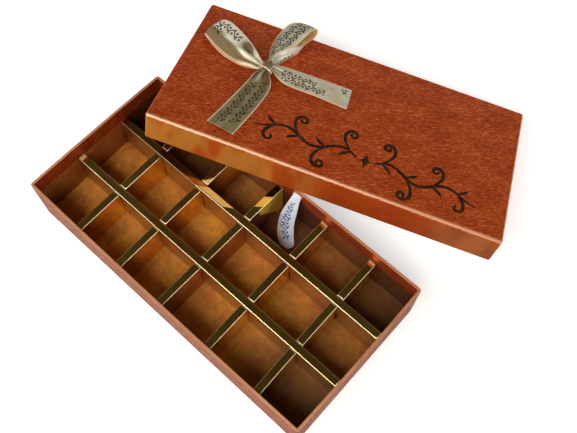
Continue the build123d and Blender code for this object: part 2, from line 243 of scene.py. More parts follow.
def brown_sheet(name, light, dark, gloss):
    """Satin brown lining paper with clouds, scuffs, scratches and dark specks, and painted shade towards the tray's
    right end, under the lid and in the far row's cells.
    """
    tree = Tree(name)
    place = tree.place()
    mottle = tree.noise(place, 260.0, 3.0, 0.65)
    hues = tree.noise(place, 62.0, 2.0, 0.5, 0.6)
    scratches = tree.noise(place, (90.0, 900.0, 90.0), 2.0, 0.6, 0.6, math.radians(31.0))
    tree.base(tree.noise(place, 46.0, 4.0, 0.6, 0.8), (0.34, dark), (0.66, light))
    tree.paint(tinted(light, 1.05, 1.3, 0.6), tree.band(hues, 0.54, 0.66, 0.0, 0.4))
    tree.paint(tinted(dark, 0.9, 0.4, 0.5), tree.band(hues, 0.46, 0.34, 0.0, 0.45))
    tree.paint(dimmed(dark, 0.6), tree.band(mottle, 0.42, 0.62, 0.0, 0.3))
    tree.paint(dimmed(light, 1.6), tree.band(scratches, 0.64, 0.74, 0.0, 0.45))
    tree.paint(dimmed(dark, 0.3), tree.band(tree.noise(place, 620.0, 1.0), 0.69, 0.76, 0.0, 0.65))
    x, y = tree.split(place)[:2]
    outer_rows = tree.band(tree.math("ABSOLUTE", y), 0.016, 0.028, 0.55, 1.0)
    # Painted shade towards the right end, painted shadow under the lid, painted shade in the far row's cells
    tree.paint(RIGHT_SHADE, tree.band(x, 0.02, 0.116, 0.0, 0.78), outer_rows)
    tree.paint(COVERED_SHADE, tree.band(y, 0.017, 0.025), tree.band(x, -0.03, -0.046), 0.75)
    for low, high, strength in FAR_ROW_SHADES:
        start, end = tree.band(x, low * MM, (low + 3.0) * MM), tree.band(x, high * MM, (high - 2.0) * MM)
        tree.paint(FAR_SHADE, start, end, tree.band(y, 0.022, 0.027, 0.0, strength))
    height = tree.math("ADD", tree.times(mottle, 0.6), tree.times(scratches, 0.4))
    rough = tree.band(mottle, 0.3, 0.7, gloss + 0.12, gloss)
    return tree.surface(Metallic=0.3, Roughness=rough, Normal=tree.bump(0.16, 0.0004, height))


def plain_paper(name, light, dark, grain, roughness):
    """Uncoated board, tape or paper with fibre grain."""
    tree = Tree(name)
    place = tree.place()
    fibres = tree.noise(place, (grain, grain * 2.6, grain), 4.0, 0.65, 0.3)
    tree.base(fibres, (0.35, dark), (0.65, light))
    tree.paint(dimmed(dark, 0.8), tree.band(tree.noise(place, 30.0), 0.35, 0.75, 0.0, 0.3))
    return tree.surface(Roughness=roughness, Normal=tree.bump(0.25, 0.0002, fibres))


def gold_foil(name, light, dark, metal, smooth, worn, painted_light=()):
    """Gold foil on card, with slight waves and hairline scuffs. Some of the painted_light patches are painted
    reflections of the lid's gold, the rest painted shade. Each is given by its bounds, each a direction with the least
    and most reach along it in millimetres, its colour, its strength and how far it loses its metal."""
    tree = Tree(name)
    place = tree.place()
    scuffs = tree.noise(place, (900.0, 900.0, 90.0), 2.0, 0.6)
    tree.base(tree.noise(place, 26.0), (0.35, dark), (0.65, light))
    for bounds, colour, strength, dull in painted_light:
        patch = strength
        for direction, least, most in bounds:
            reach = tree.vector_math("DOT_PRODUCT", place, direction).outputs["Value"]
            aside = tree.apart(reach, (least + most) / 2.0 * MM)
            half = (most - least) / 2.0
            patch = tree.times(tree.band(aside, (half + 0.3) * MM, (half - 0.7) * MM), patch)
        tree.paint(colour, patch)
        if dull:
            metal = tree.times(tree.math("MULTIPLY_ADD", patch, -dull, 1.0), metal)
    rough, normal = tree.band(scuffs, 0.45, 0.8, smooth, worn), tree.bump(0.1, 0.002, tree.noise(place, 38.0, 1.0))
    return tree.surface(Metallic=metal, Roughness=rough, Normal=normal)


# The print on the ribbon: a vine with its wave's length and swing, and a small and a large berry in each half wave,
# by its height over the vine's middle, its place in the half wave and its radius
# The ink's colour, and a painted highlight for the selvedges
INK, SELVEDGE_HIGHLIGHT = (0.035, 0.022, 0.01), (0.88, 0.58, 0.38)
VINE_WAVE, VINE_SWING = 8.4, 1.55
BERRIES = ((-1.2, 2.1, 1.1), (2.4, 0.9, 0.9))


def vine(tree, along, across, row, start, end, turn):
    """One row of print: where a vine with its berries shows on the ribbon."""
    swing = tree.math("SINE", tree.math("ADD", tree.times(along, 2.0 * math.pi / VINE_WAVE), turn))
    marks = [tree.band(tree.apart(across, tree.math("MULTIPLY_ADD", swing, VINE_SWING, row)), 0.8, 0.48)]
    bend = tree.math("SIGN", swing)
    forward = tree.math("ADD", along, VINE_WAVE * (10.0 + turn / (2.0 * math.pi)))
    half_wave = tree.math("MODULO", forward, VINE_WAVE / 2.0)
    for height, centre, size in BERRIES:
        up = tree.math("SUBTRACT", across, tree.math("MULTIPLY_ADD", bend, height, row))
        aside = tree.math("SUBTRACT", half_wave, centre)
        marks.append(tree.band(tree.distance(up, aside), size, size - 0.3))
    shown = tree.times(tree.band(along, start, start + 1.0), tree.band(along, end, end + 1.0, 1.0, 0.0))
    return tree.times(tree.most(*marks), shown)


def satin_ribbon(name, light, dark, rows=(), side=None, shades=(), shine=0.15, ink=INK):
    """Satin ribbon with a fine weave and a painted highlight along its selvedges. Its UV map is millimetres along and
    across. Each row of print is given by its place across, where it starts and ends along, and its wave's turn. side
    is painted shade along an edge: a low place, a high place and a colour. Each of the shades is a soft oval where the
    satin turns to or from the light, painted as shade where it turns away and as a highlight where it turns to it: its
    middle along and across, its reach along and across, its colour and its strength."""
    tree = Tree(name)
    uv = tree.add("UVMap", uv_map="ribbon").outputs[0]
    along, across = tree.split(uv)[:2]
    weave = tree.noise(uv, (0.9, 7.0, 1.0), 2.0, 0.6)
    clouds = tree.noise(uv, (0.1, 0.22, 1.0), 3.0, 0.6, 0.5)
    tree.base(clouds, (0.32, dark), (0.68, light))
    if side is not None:
        low, high, shaded = side
        ragged = tree.math("MULTIPLY_ADD", clouds, 3.0, across)
        tree.paint(shaded, tree.band(ragged, low + 1.5, high + 1.5, 0.92, 0.0))
    for middle, place, reach_along, reach_across, shade, strength in shades:
        far = tree.math("DIVIDE", tree.math("SUBTRACT", along, middle), reach_along)
        aside = tree.math("DIVIDE", tree.math("SUBTRACT", across, place), reach_across)
        tree.paint(shade, tree.band(tree.distance(far, aside), 1.0, 0.45, 0.0, strength))
    tree.paint(dimmed(dark, 0.78), tree.band(weave, 0.35, 0.7, 0.0, 0.22))
    if rows:
        tree.paint(ink, tree.most(*(vine(tree, along, across, *row) for row in rows)), 0.95)
    # A painted highlight along both selvedges
    selvedge = tree.band(tree.apart(across, RIBBON_WIDTH / 2.0), 8.6, 9.1)
    tree.paint(SELVEDGE_HIGHLIGHT, selvedge, 0.58)
    height = tree.math("ADD", tree.times(weave, 0.6), tree.times(selvedge, 0.4))
    return tree.surface(
        Metallic=shine,
        Roughness=tree.band(weave, 0.3, 0.7, 0.4, 0.52),
        Normal=tree.bump(0.25, 0.00012, height),
        Anisotropic=0.5,
        Specular_IOR_Level=0.25,
        Sheen_Weight=0.06,
        Sheen_Roughness=0.4,
    )


def dark_foil():
    """The dark brown foil of the ornament on the lid."""
    tree = Tree("dark_brown_foil")
    worn = tree.noise(tree.place(), 260.0, 3.0, 0.6)
    tree.base(worn, (0.42, (0.026, 0.0075, 0.0014)), (0.78, (0.085, 0.04, 0.009)))
    rough = tree.band(worn, 0.3, 0.7, 0.42, 0.6)
    return tree.surface(Metallic=0.35, Specular_IOR_Level=0.1, Roughness=rough, Normal=tree.bump(0.2, 0.0001, worn))


def clear_glue():
    """Hot glue, milky and glossy."""
    tree = Tree("hot_glue")
    clouds = tree.noise(tree.place(), 400.0)
    tree.base(clouds, (0.3, (0.62, 0.55, 0.42)), (0.7, (0.76, 0.7, 0.58)))
    return tree.surface(Roughness=tree.band(clouds, 0.3, 0.7, 0.2, 0.32))


# Copies of one copper wrap: inside the tray a darker copy, on its outer walls a darker, less glossy one, both painted
# shade; on rims and edges a paler one, a painted highlight; the lid's own copy paints light on its front wall
copper_inside_shaded = wrap_paper("copper_wrap_paper_shaded_inside", (0.4, 0.056, 0.01), (0.23, 0.028, 0.005), 0.45, 0.12, 0.3)
copper_outside_shaded = wrap_paper("copper_outer_paper_shaded", (0.232, 0.059, 0.009), (0.184, 0.043, 0.006), 0.13, 0.014, 0.8)
copper_lid = wrap_paper("copper_lid_paper", (0.5, 0.066, 0.006), (0.42, 0.049, 0.004), 0.45, 0.12, 1.0, lid_front=True)
copper_edge_highlight = wrap_paper("copper_paper_edge_highlight", (0.72, 0.35, 0.2), (0.6, 0.265, 0.14), 0.45, 0.12, 0.6)

# Mirror images of the lid and its shade in the foil, at the places that the photograph shows
# These patches are painted into the foil's colour: painted reflections of the lid's gold, and painted shade
ALONG_X, ALONG_Y = (1.0, 0.0, 0.0), (0.0, 1.0, 0.0)
TOP = ((0.0, 0.0, 1.0), 32.0, 36.0)
FAR_ROW = (ALONG_Y, 25.5, 70.0)
FAR_TOP = (ALONG_Y, 18.0, 26.6)
CROSS_3 = (ALONG_X, -5.0, 5.0)
CROSS_3_SLANT = (-0.8, 1.0, 0.0)
PAINTED_REFLECTIONS_AND_SHADE = (
    ((TOP, FAR_TOP, (ALONG_X, -140.0, -46.0)), (0.34, 0.17, 0.05), 0.75, 0.0),
    ((TOP, (ALONG_Y, 20.5, 26.6), ((1.0, -1.8, 0.0), -82.5, -56.5)), (0.84, 0.475, 0.13), 0.95, 0.85),
    ((TOP, FAR_ROW, (ALONG_X, -47.0, -38.0), ((1.0, -0.615, 0.0), -61.0, -50.0)), (0.76, 0.5, 0.15), 0.95, 0.85),
    ((TOP, CROSS_3, (CROSS_3_SLANT, 37.8, 48.8)), (0.93, 0.52, 0.075), 0.95, 0.85),
    ((TOP, CROSS_3, (CROSS_3_SLANT, 49.2, 75.0)), (0.08, 0.03, 0.01), 0.9, 0.0),
)
LIT_SIDE = ((CROSS_3, ((0.0, 1.2, 1.0), 69.5, 150.0), (ALONG_Y, 36.0, 70.0)), (0.98, 0.64, 0.075), 0.92, 0.85)
FOLD_SHADE = (((ALONG_X, -140.0, -46.0), (ALONG_Y, 15.0, 70.0)), (0.26, 0.13, 0.06), 0.8, 0.0)

card_core = plain_paper("card_core", (0.66, 0.62, 0.52), (0.54, 0.5, 0.41), 1500.0, 0.75)
# The strips' materials, in the order of their slots
GOLD, CORE, FOLD_HIGHLIGHT, SIDE_SHADED, END_REFLECTION, LIT, SHADED_FOLD = range(7)
divider_materials = [
    gold_foil("gold_foil_card", (0.86, 0.62, 0.19), (0.76, 0.4, 0.12), 1.0, 0.12, 0.26, PAINTED_REFLECTIONS_AND_SHADE),
    card_core,
    gold_foil("gold_foil_fold_highlight", (1.0, 0.85, 0.55), (0.99, 0.78, 0.46), 0.45, 0.24, 0.36, (FOLD_SHADE,)),
    gold_foil("gold_foil_side_shaded", (0.44, 0.26, 0.082), (0.36, 0.2, 0.058), 0.9, 0.3, 0.33),
    gold_foil("gold_foil_end_reflection", (0.66, 0.47, 0.18), (0.54, 0.37, 0.13), 0.2, 0.4, 0.5),
    gold_foil("gold_foil_lit_side", (0.5, 0.24, 0.08), (0.36, 0.12, 0.05), 0.9, 0.3, 0.33, (LIT_SIDE,)),
    gold_foil("gold_foil_shaded_fold", (0.62, 0.5, 0.3), (0.5, 0.38, 0.22), 0.9, 0.2, 0.34),
]
# The walls' lining is a darker copy of the floor sheet's brown paper: painted shade
lining_paper = brown_sheet("brown_lining_paper", (0.42, 0.132, 0.03), (0.28, 0.082, 0.02), 0.36)
floor_sheet = brown_sheet("brown_floor_sheet", (0.74, 0.3, 0.048), (0.5, 0.182, 0.03), 0.4)
greyboard = plain_paper("greyboard", (0.47, 0.44, 0.38), (0.36, 0.33, 0.28), 900.0, 0.85)
stay_tape = plain_paper("kraft_stay_tape", (0.55, 0.4, 0.24), (0.45, 0.32, 0.18), 700.0, 0.7)
inside_paper = plain_paper("inside_paper", (0.6, 0.52, 0.4), (0.5, 0.42, 0.31), 500.0, 0.62)
# The strands are lit and shaded copies of one satin: each one's colours and ovals paint the light and shade on it
lit_satin = satin_ribbon(
    "satin_lit", (0.68, 0.64, 0.51), (0.46, 0.405, 0.285),
    ((8.0, 8.0, 36.0, 0.0), (14.2, 9.0, 45.0, 2.3), (4.2, 55.5, 60.0, 0.9)),
    shades=((3.0, 14.0, 9.0, 5.0, (0.2, 0.15, 0.09), 0.7), (54.0, 15.0, 9.0, 6.0, (0.55, 0.5, 0.3), 0.5)),
)
shaded_satin = satin_ribbon(
    "satin_shaded", (0.275, 0.225, 0.118), (0.16, 0.125, 0.058),
    ((5.8, 12.0, 60.0, 0.0), (13.8, 15.0, 63.0, 2.3)),
    shades=(
        (6.0, 4.0, 14.0, 6.0, (0.17, 0.085, 0.022), 0.85),
        (4.0, 18.5, 13.0, 4.5, (0.1, 0.085, 0.035), 0.8),
        (7.0, 12.5, 9.0, 2.6, (0.5, 0.48, 0.36), 0.85),
        (4.0, 8.6, 6.0, 1.0, (0.05, 0.035, 0.012), 0.8),
    ),
)
half_lit_satin = satin_ribbon(
    "satin_half_lit", (0.56, 0.52, 0.41), (0.32, 0.29, 0.21),
    ((6.4, 6.0, 50.0, 0.0), (13.2, 6.0, 52.0, 2.3), (5.0, 84.0, 97.0, 0.6)),
    shades=(
        (10.0, 0.0, 26.0, 4.5, (0.06, 0.055, 0.035), 0.8),
        (26.0, 19.0, 30.0, 4.5, (0.78, 0.73, 0.58), 0.7),
        (84.0, 11.0, 19.0, 14.0, (0.95, 0.95, 0.86), 0.92),
        (70.0, 17.0, 10.0, 5.0, (0.85, 0.62, 0.42), 0.6),
    ),
)
lit_tip_satin = satin_ribbon(
    "satin_tip_lit", (0.84, 0.82, 0.74), (0.56, 0.5, 0.38),
    ((15.2, 26.0, 80.0, 0.0), (9.8, 42.0, 80.0, 2.3)),
    (8.0, 11.0, (0.17, 0.094, 0.016)),
    (
        (17.0, 15.2, 9.5, 6.0, (0.085, 0.044, 0.008), 0.97),
        (6.0, 18.5, 9.0, 3.0, (0.62, 0.56, 0.42), 0.8),
        (5.0, 0.5, 15.0, 5.0, (0.84, 0.76, 0.58), 0.9),
        (12.0, 9.6, 13.5, 3.0, (0.95, 0.92, 0.7), 0.95),
        (4.0, 14.2, 6.5, 1.0, (0.06, 0.04, 0.016), 0.8),
        (10.0, 5.8, 10.0, 1.5, (0.14, 0.085, 0.024), 0.8),
    ),
)
back_satin = satin_ribbon("satin_back", (0.98, 0.7, 0.27), (0.8, 0.54, 0.165))
# The knot's satin is a darker copy, painted shade; the rolled fold's is a paler one, a painted highlight
shaded_knot_satin = satin_ribbon("satin_knot_shaded", (0.34, 0.285, 0.185), (0.08, 0.06, 0.032))
cord_highlight_satin = satin_ribbon("satin_cord_highlight", (0.9, 0.78, 0.58), (0.72, 0.56, 0.36))
# The loose strip: a pale bluish copy of the ribbon's satin, painted light; its oval is painted shade
lit_loose_satin = satin_ribbon(
    "satin_loose_strip_lit",
    (0.84, 0.92, 1.0),
    (0.72, 0.8, 1.0),
    ((6.0, 9.0, 45.0, 0.0), (1.6, 21.0, 34.0, 1.3)),
    shades=((40.0, -0.5, 17.0, 6.2, (0.64, 0.56, 0.47), 0.9),),
    shine=0.0,
    ink=(0.1, 0.12, 0.3),
)

for node_name, material in (
    ("tray_board", greyboard),
    ("tray_corner_tapes", stay_tape),
    ("tray_lining", lining_paper),
    ("tray_floor_sheet", floor_sheet),
    ("tray_base_sheet", inside_paper),
    ("lid_board", greyboard),
    ("lid_corner_tapes", stay_tape),
    ("lid_lining", inside_paper),
    ("bow_glue_dot", clear_glue()),
    ("loose_ribbon_patch", stay_tape),
):
    for material_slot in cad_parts[node_name].material_slots:
        material_slot.material = material


# ---- Mesh helpers

AXIS_X, AXIS_Y, AXIS_Z = range(3)


def new_object(name, data):
    made = bpy.data.objects.new(name, data)
    bpy.context.scene.collection.objects.link(made)
    return made


def link(name, mesh, body, slot_name, materials):
    """A new piece from a mesh in metres, riding on a CAD body."""
    piece = new_object(name, mesh)
    for material in materials:
        mesh.materials.append(material)
    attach(piece, body)
    return piece


def node_copy(node_name):
    """The CAD node's own shape as a bmesh in millimetres, welded and with its flat faces whole."""
    shape = bmesh.new()
    shape.from_mesh(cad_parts[node_name].data)
    bmesh.ops.scale(shape, vec=(1.0 / MM, 1.0 / MM, 1.0 / MM), verts=shape.verts)
    bmesh.ops.remove_doubles(shape, verts=shape.verts, dist=0.002)
    bmesh.ops.dissolve_limit(shape, angle_limit=math.radians(0.8), verts=shape.verts, edges=shape.edges)
    bmesh.ops.recalc_face_normals(shape, faces=shape.faces)
    return shape


def slice_at(shape, axis, places):
    """Cuts every face at the given places along an axis, so that the shape can bend there."""
    normal = Vector((0.0, 0.0, 0.0))
    normal[axis] = 1.0
    for place in places:
        everything = shape.verts[:] + shape.edges[:] + shape.faces[:]
        bmesh.ops.bisect_plane(shape, geom=everything, dist=0.0005, plane_co=normal * place, plane_no=normal)


def to_mesh(shape, name, smooth_angle=35.0):
    """A mesh in metres, smooth but for its sharp edges."""
    bmesh.ops.scale(shape, vec=(MM, MM, MM), verts=shape.verts)
    mesh = bpy.data.meshes.new(name)
    shape.to_mesh(mesh)
    shape.free()
    for polygon in mesh.polygons:
        polygon.use_smooth = True
    mesh.set_sharp_from_angle(angle=math.radians(smooth_angle))
    return mesh


def weight_normals(piece):
    """Keeps a piece's large flat faces flat beside its rounded edges."""
    weighted = piece.modifiers.new("weighted_normals", "WEIGHTED_NORMAL")
    weighted.keep_sharp = True
    weighted.weight = 80


# ---- Tray paper: rounded rim and bottom, with the near, left and right walls a little bowed as in the photograph
NEAR_BOW, LEFT_BOW, RIGHT_BOW = 0.9, 0.4, 0.7
# How deep under its outer face a wall bows with it
WALL_DEPTH = 2.6
# How far a long and a short wall lie from the floor on the unfolded sheet, so that no two share its pattern
LONG_WALL_APART, SHORT_WALL_APART = 120.0, 400.0


def bow(p):
    """How far a tray wall's point stands out: most at the rim and half way along, nothing at corners and floor."""
    height = max(0.0, min(1.0, p.z / TRAY_HEIGHT))
    along = max(0.0, 1.0 - (2.0 * p.x / TRAY_LENGTH) ** 2)
    across = max(0.0, 1.0 - (2.0 * p.y / TRAY_WIDTH) ** 2)
    lift = height * height * (3.0 - 2.0 * height)
    out = Vector((0.0, 0.0, 0.0))
    if p.y < -TRAY_WIDTH / 2.0 + WALL_DEPTH:
        out.y -= NEAR_BOW * lift * along
    if p.x > TRAY_LENGTH / 2.0 - WALL_DEPTH:
        out.x += RIGHT_BOW * lift * across
    if p.x < -TRAY_LENGTH / 2.0 + WALL_DEPTH:
        out.x -= LEFT_BOW * lift * across
    return out


def bowed(shape):
    """Cuts a tray's walls up and bows them."""
    slice_at(shape, AXIS_X, [x * 10.0 for x in range(-12, 13)])
    slice_at(shape, AXIS_Y, [y * 8.0 for y in range(-7, 8)])
    slice_at(shape, AXIS_Z, [6.0, 14.0, 22.0, 30.0, 38.0])
    for vert in shape.verts:
        vert.co += bow(vert.co)


def unfold_tray(shape):
    """The wrap's UV map: the tray's paper laid flat, in millimetres."""
    layer = shape.loops.layers.uv.new("sheet")
    for face in shape.faces:
        n = face.normal
        for loop in face.loops:
            p = loop.vert.co
            u, v = p.x, p.y
            if abs(n.y) > abs(n.x) and abs(n.y) > 0.5:
                v = -TRAY_WIDTH / 2.0 + p.z if p.y < 0.0 else TRAY_WIDTH / 2.0 - p.z
                v += -LONG_WALL_APART if p.y < 0.0 else LONG_WALL_APART
            elif abs(n.x) > 0.5:
                u = p.z + (-SHORT_WALL_APART if p.x < 0.0 else SHORT_WALL_APART)
            loop[layer].uv = (u, v)


def round_edges(shape, radius, steps, chosen):
    """Rounds the edges between two faces that are chosen by a test."""
    edges = [edge for edge in shape.edges if len(edge.link_faces) == 2 and chosen(edge)]
    rounding = dict(offset=radius, offset_type="OFFSET", segments=steps, profile=0.5)
    bmesh.ops.bevel(shape, geom=edges, affect="EDGES", clamp_overlap=True, **rounding)


def rim_edge(edge):
    low = min(vert.co.z for vert in edge.verts)
    tops = [face for face in edge.link_faces if face.normal.z > 0.9]
    return low > TRAY_HEIGHT - 0.01 and len(tops) == 1


def foot_edge(edge):
    high = max(vert.co.z for vert in edge.verts)
    outer = [face for face in edge.link_faces if abs(face.normal.z) < 0.1]
    downs = [face for face in edge.link_faces if face.normal.z < -0.9]
    away = all(abs(v.co.x) > TRAY_LENGTH / 2.0 - 3.0 or abs(v.co.y) > TRAY_WIDTH / 2.0 - 3.0 for v in edge.verts)
    return high < 0.3 and len(outer) == 1 and len(downs) == 1 and away


# The slots of the tray's and the lid's paper: the wrap, a paler copy that paints a highlight on edges, a darker copy
# that paints shade on the tray's outer walls
PAPER, PAPER_EDGE_HIGHLIGHT, PAPER_OUTSIDE_SHADED = range(3)
shape = node_copy("tray_wrap")
round_edges(shape, 0.8, 4, rim_edge)
round_edges(shape, 0.2, 2, foot_edge)
bowed(shape)
unfold_tray(shape)
# The rim takes the paler copy, a painted highlight; the outer walls and the rest take darker copies, painted shade
for face in shape.faces:
    middle = face.calc_center_median()
    outward = face.normal.x * middle.x / TRAY_LENGTH + face.normal.y * middle.y / TRAY_WIDTH > 0.2
    on_rim = face.normal.z > 0.15 and middle.z > TRAY_HEIGHT - 1.2
    face.material_index = PAPER_EDGE_HIGHLIGHT if on_rim else PAPER_OUTSIDE_SHADED if outward else PAPER
tray_materials = [copper_inside_shaded, copper_edge_highlight, copper_outside_shaded]
tray_paper = link("tray_paper", to_mesh(shape, "tray_paper"), "tray", "wrap_paper", tray_materials)
weight_normals(tray_paper)
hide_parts("tray_wrap")

for node_name, piece_name, material, slot_name in (
    ("tray_board", "tray_bowed_board", greyboard, "greyboard"),
    ("tray_lining", "tray_wall_lining", lining_paper, "brown_lining"),
):
    shape = node_copy(node_name)
    bowed(shape)
    piece = link(piece_name, to_mesh(shape, piece_name), "tray", slot_name, [material])
    weight_normals(piece)
    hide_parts(node_name)

# ---- Lid paper: the same wrap, unfolded over the lid
shape = node_copy("lid_wrap")
uv_layer = shape.loops.layers.uv.new("sheet")
for face in shape.faces:
    n = by_lid(face.normal)
    for loop in face.loops:
        q = by_lid(loop.vert.co - lid_corner)
        fall = LID_HEIGHT - q.z
        u, v = q.x, q.y
        if abs(n.z) < 0.6 and abs(n.y) >= abs(n.x):
            v = q.y - fall if q.y < LID_WIDTH / 2.0 else q.y + fall
        elif abs(n.z) < 0.6:
            u = q.x - fall if q.x < LID_LENGTH / 2.0 else q.x + fall
        loop[uv_layer].uv = (u, v)
    # Only the rounded top edges at the lid's right end take the paler copy, a painted highlight
    edge_high = by_lid(face.calc_center_median() - lid_corner).z > LID_HEIGHT - 1.5
    face.material_index = PAPER_EDGE_HIGHLIGHT if 0.25 < n.z < 0.99 and edge_high and n.x > 0.1 else PAPER
lid_paper = link("lid_paper", to_mesh(shape, "lid_paper", 50.0), "lid", "wrap_paper", [copper_lid, copper_edge_highlight])
weight_normals(lid_paper)
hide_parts("lid_wrap")

# ---- Dividers: folded foil card with soft folds and pale cut edges, and painted highlights, reflections and shade
# How far each short strip is bent aside at its near end, its middle and its far end, and how much of that is shown
CROSS_BENDS = {
    "divider_cross_1": (1.0, -0.2, -0.4),
    "divider_cross_2": (0.7, -0.2, 0.2),
    "divider_cross_3": (-0.9, 0.1, 1.2),
    "divider_cross_4": (0.6, -0.3, 0.1),
    "divider_cross_5": (1.4, -0.5, -0.6),
}
BEND_SHARE = 0.6
# Past every strip's end, for a strip with no golden end on that side
NO_END = 999.0
for name in ("divider_long_near", "divider_long_far", *CROSS_BENDS):
    runs_x = name.startswith("divider_long")
    run_axis, side_axis = (AXIS_X, AXIS_Y) if runs_x else (AXIS_Y, AXIS_X)
    shape = node_copy(name)
    top = max(vert.co.z for vert in shape.verts)
    middle = sum(vert.co[side_axis] for vert in shape.verts) / len(shape.verts)
    half_width = max(abs(vert.co[side_axis] - middle) for vert in shape.verts)

    def fold_edge(edge):
        level = all(vert.co.z > top - 0.01 for vert in edge.verts)
        outside = all(abs(vert.co[side_axis] - middle) > half_width - 0.02 for vert in edge.verts)
        return level and outside

    round_edges(shape, 0.68, 4, fold_edge)
    run_places = [vert.co[run_axis] for vert in shape.verts]
    # Golden ends of three strips: a painted reflection, from these places along the strip
    reflected_end_low = min(run_places) + 4.0 if name == "divider_long_near" else -NO_END
    reflected_end_high = max(run_places) - 2.2 if name in ("divider_cross_4", "divider_cross_5") else NO_END
    slice_at(shape, run_axis, [reflected_end_low, reflected_end_high])
    for face in shape.faces:
        n = face.normal
        cut = abs(n[run_axis]) > 0.9 or n.z < -0.9
        inner = all(abs(vert.co[side_axis] - middle) < half_width - 0.3 for vert in face.verts)
        away = n.y > 0.0 if runs_x else n.x < 0.0
        # Folds facing the light take a painted highlight, the others painted shade; the long strips' sides take
        # painted shade, and the third short strip's lit side a painted reflection
        if cut or (inner and n.z < 0.5):
            face.material_index = CORE
        elif 0.2 < n.z < 0.97:
            face.material_index = SHADED_FOLD if away else FOLD_HIGHLIGHT
        else:
            face.material_index = SIDE_SHADED if runs_x and abs(n.y) > 0.5 else GOLD
        if n.z > 0.2 and not reflected_end_low < face.calc_center_median()[run_axis] < reflected_end_high:
            face.material_index = END_REFLECTION
        if name == "divider_cross_3" and n.x > 0.9:
            face.material_index = LIT
    if name in CROSS_BENDS:
        near_shift, mid_shift, far_shift = CROSS_BENDS[name]
        slice_at(shape, AXIS_Y, [y * 6.0 for y in range(-10, 11)])
        for vert in shape.verts:
            t = vert.co.y / (TRAY_WIDTH / 2.0)
            curve = ((far_shift + near_shift) / 2.0 - mid_shift) * t * t
            shift = mid_shift + (far_shift - near_shift) / 2.0 * t + curve
            vert.co.x += shift * BEND_SHARE
    piece = link(
        name.replace("divider", "partition"),
        to_mesh(shape, name + "_folded", 40.0),
        "near_divider" if name == "divider_long_near" else "tray",
        "gold_card",
        divider_materials,
    )
    weight_normals(piece)
    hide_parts(name)


# ---- Ribbon strands
def curve_through(points, steps):
    """More points on the smooth curve that passes through the given ones."""
    ends = [points[0]] + list(points) + [points[-1]]
    dense = []
    for index in range(1, len(ends) - 2):
        before, start, end, after = ends[index - 1:index + 3]
        for step in range(steps):
            t = step / steps
            straight = start * 2.0 + (end - before) * t
            bend = (before * 2.0 - start * 5.0 + end * 4.0 - after) * (t * t)
            twist = (start * 3.0 - before - end * 3.0 + after) * (t * t * t)
            dense.append((straight + bend + twist) * 0.5)
    dense.append(points[-1])
    return dense


def heading_at(points, index):
    """The direction of a line of points at one of them."""
    return (points[min(index + 1, len(points) - 1)] - points[max(index - 1, 0)]).normalized()


def faces_between(shape, rows):
    """Makes the faces between neighbouring rows of vertices. Gives each face with its row and its column."""
    for index, (row, following) in enumerate(zip(rows, rows[1:])):
        for column in range(len(row) - 1):
            corners = (row[column], row[column + 1], following[column + 1], following[column])
            yield shape.faces.new(corners), index, column


def cover(shape, layer, rows, runs, width):
    """Makes the faces of a ribbon from its rows of vertices. Its UV map is each row's run and the place across."""
    for face, index, column in faces_between(shape, rows):
        marks = ((index, column), (index, column + 1), (index + 1, column + 1), (index + 1, column))
        for loop, (row, place) in zip(face.loops, marks):
            loop[layer].uv = (runs[row], width * place / (len(rows[0]) - 1))


def ribbon_strand(name, pairs, width, cloth, materials, body, cup, pleats, columns=32):
    """A ribbon whose two edges pass through the given pairs of points. cup is how far its middle stands out to the
    printed side, and each pleat is a ridge or hollow at a share of its width: place, half width, height, how far it
    reaches from the strand's start, and how far from its end."""
    lows, highs = (curve_through(edge, 8) for edge in zip(*pairs))
    middles = [(low + high) * 0.5 for low, high in zip(lows, highs)]
    run = [0.0]
    for first, second in zip(middles, middles[1:]):
        run.append(run[-1] + (second - first).length)
    shape = bmesh.new()
    layer = shape.loops.layers.uv.new("ribbon")
    rows = []
    for index, (low, high) in enumerate(zip(lows, highs)):
        across = (high - low).normalized()
        out = across.cross(heading_at(middles, index)).normalized()
        from_start, from_end = run[index], run[-1] - run[index]
        swell = cup * min(1.0, from_start / 14.0, (from_end + 6.0) / 14.0)
        settle = min(1.0, 0.35 + min(from_start, from_end) / 5.0)
        row = []
        for column in range(columns + 1):
            w = column / columns
            lift = swell * math.sin(math.pi * w)
            for place, half, height, start_reach, end_reach in pleats:
                near_start = max(0.0, 1.0 - from_start / start_reach) if start_reach else 0.0
                near_end = max(0.0, 1.0 - from_end / end_reach) if end_reach else 0.0
                share = max(near_start, near_end)
                lift += height * share ** 0.8 * settle * math.exp(-((w - place) / half) ** 2)
            row.append(shape.verts.new(low + (high - low) * w + out * lift))
        rows.append(row)
    cover(shape, layer, rows, run, width)
    piece = link(name, to_mesh(shape, name, 80.0), body, "ribbon", materials)
    thick = piece.modifiers.new("cloth", "SOLIDIFY")
    thick.thickness = cloth * MM
    thick.offset = 0.0
    thick.material_offset = len(materials) - 1
    print(name, "length", round(run[-1], 1), "mm")
    return piece, run[-1]


def by_knot(along, across, up):
    """A place given from the knot's own place on the lid's top."""
    return on_lid(KNOT_LEFT + along, KNOT_FRONT + across, LID_HEIGHT + up)


def bow_points(rows):
    """Pairs of edge points from one of the bow's tables."""
    return [tuple(by_knot(*(share * RIBBON_WIDTH for share in edge)) for edge in (row[:3], row[3:])) for row in rows]


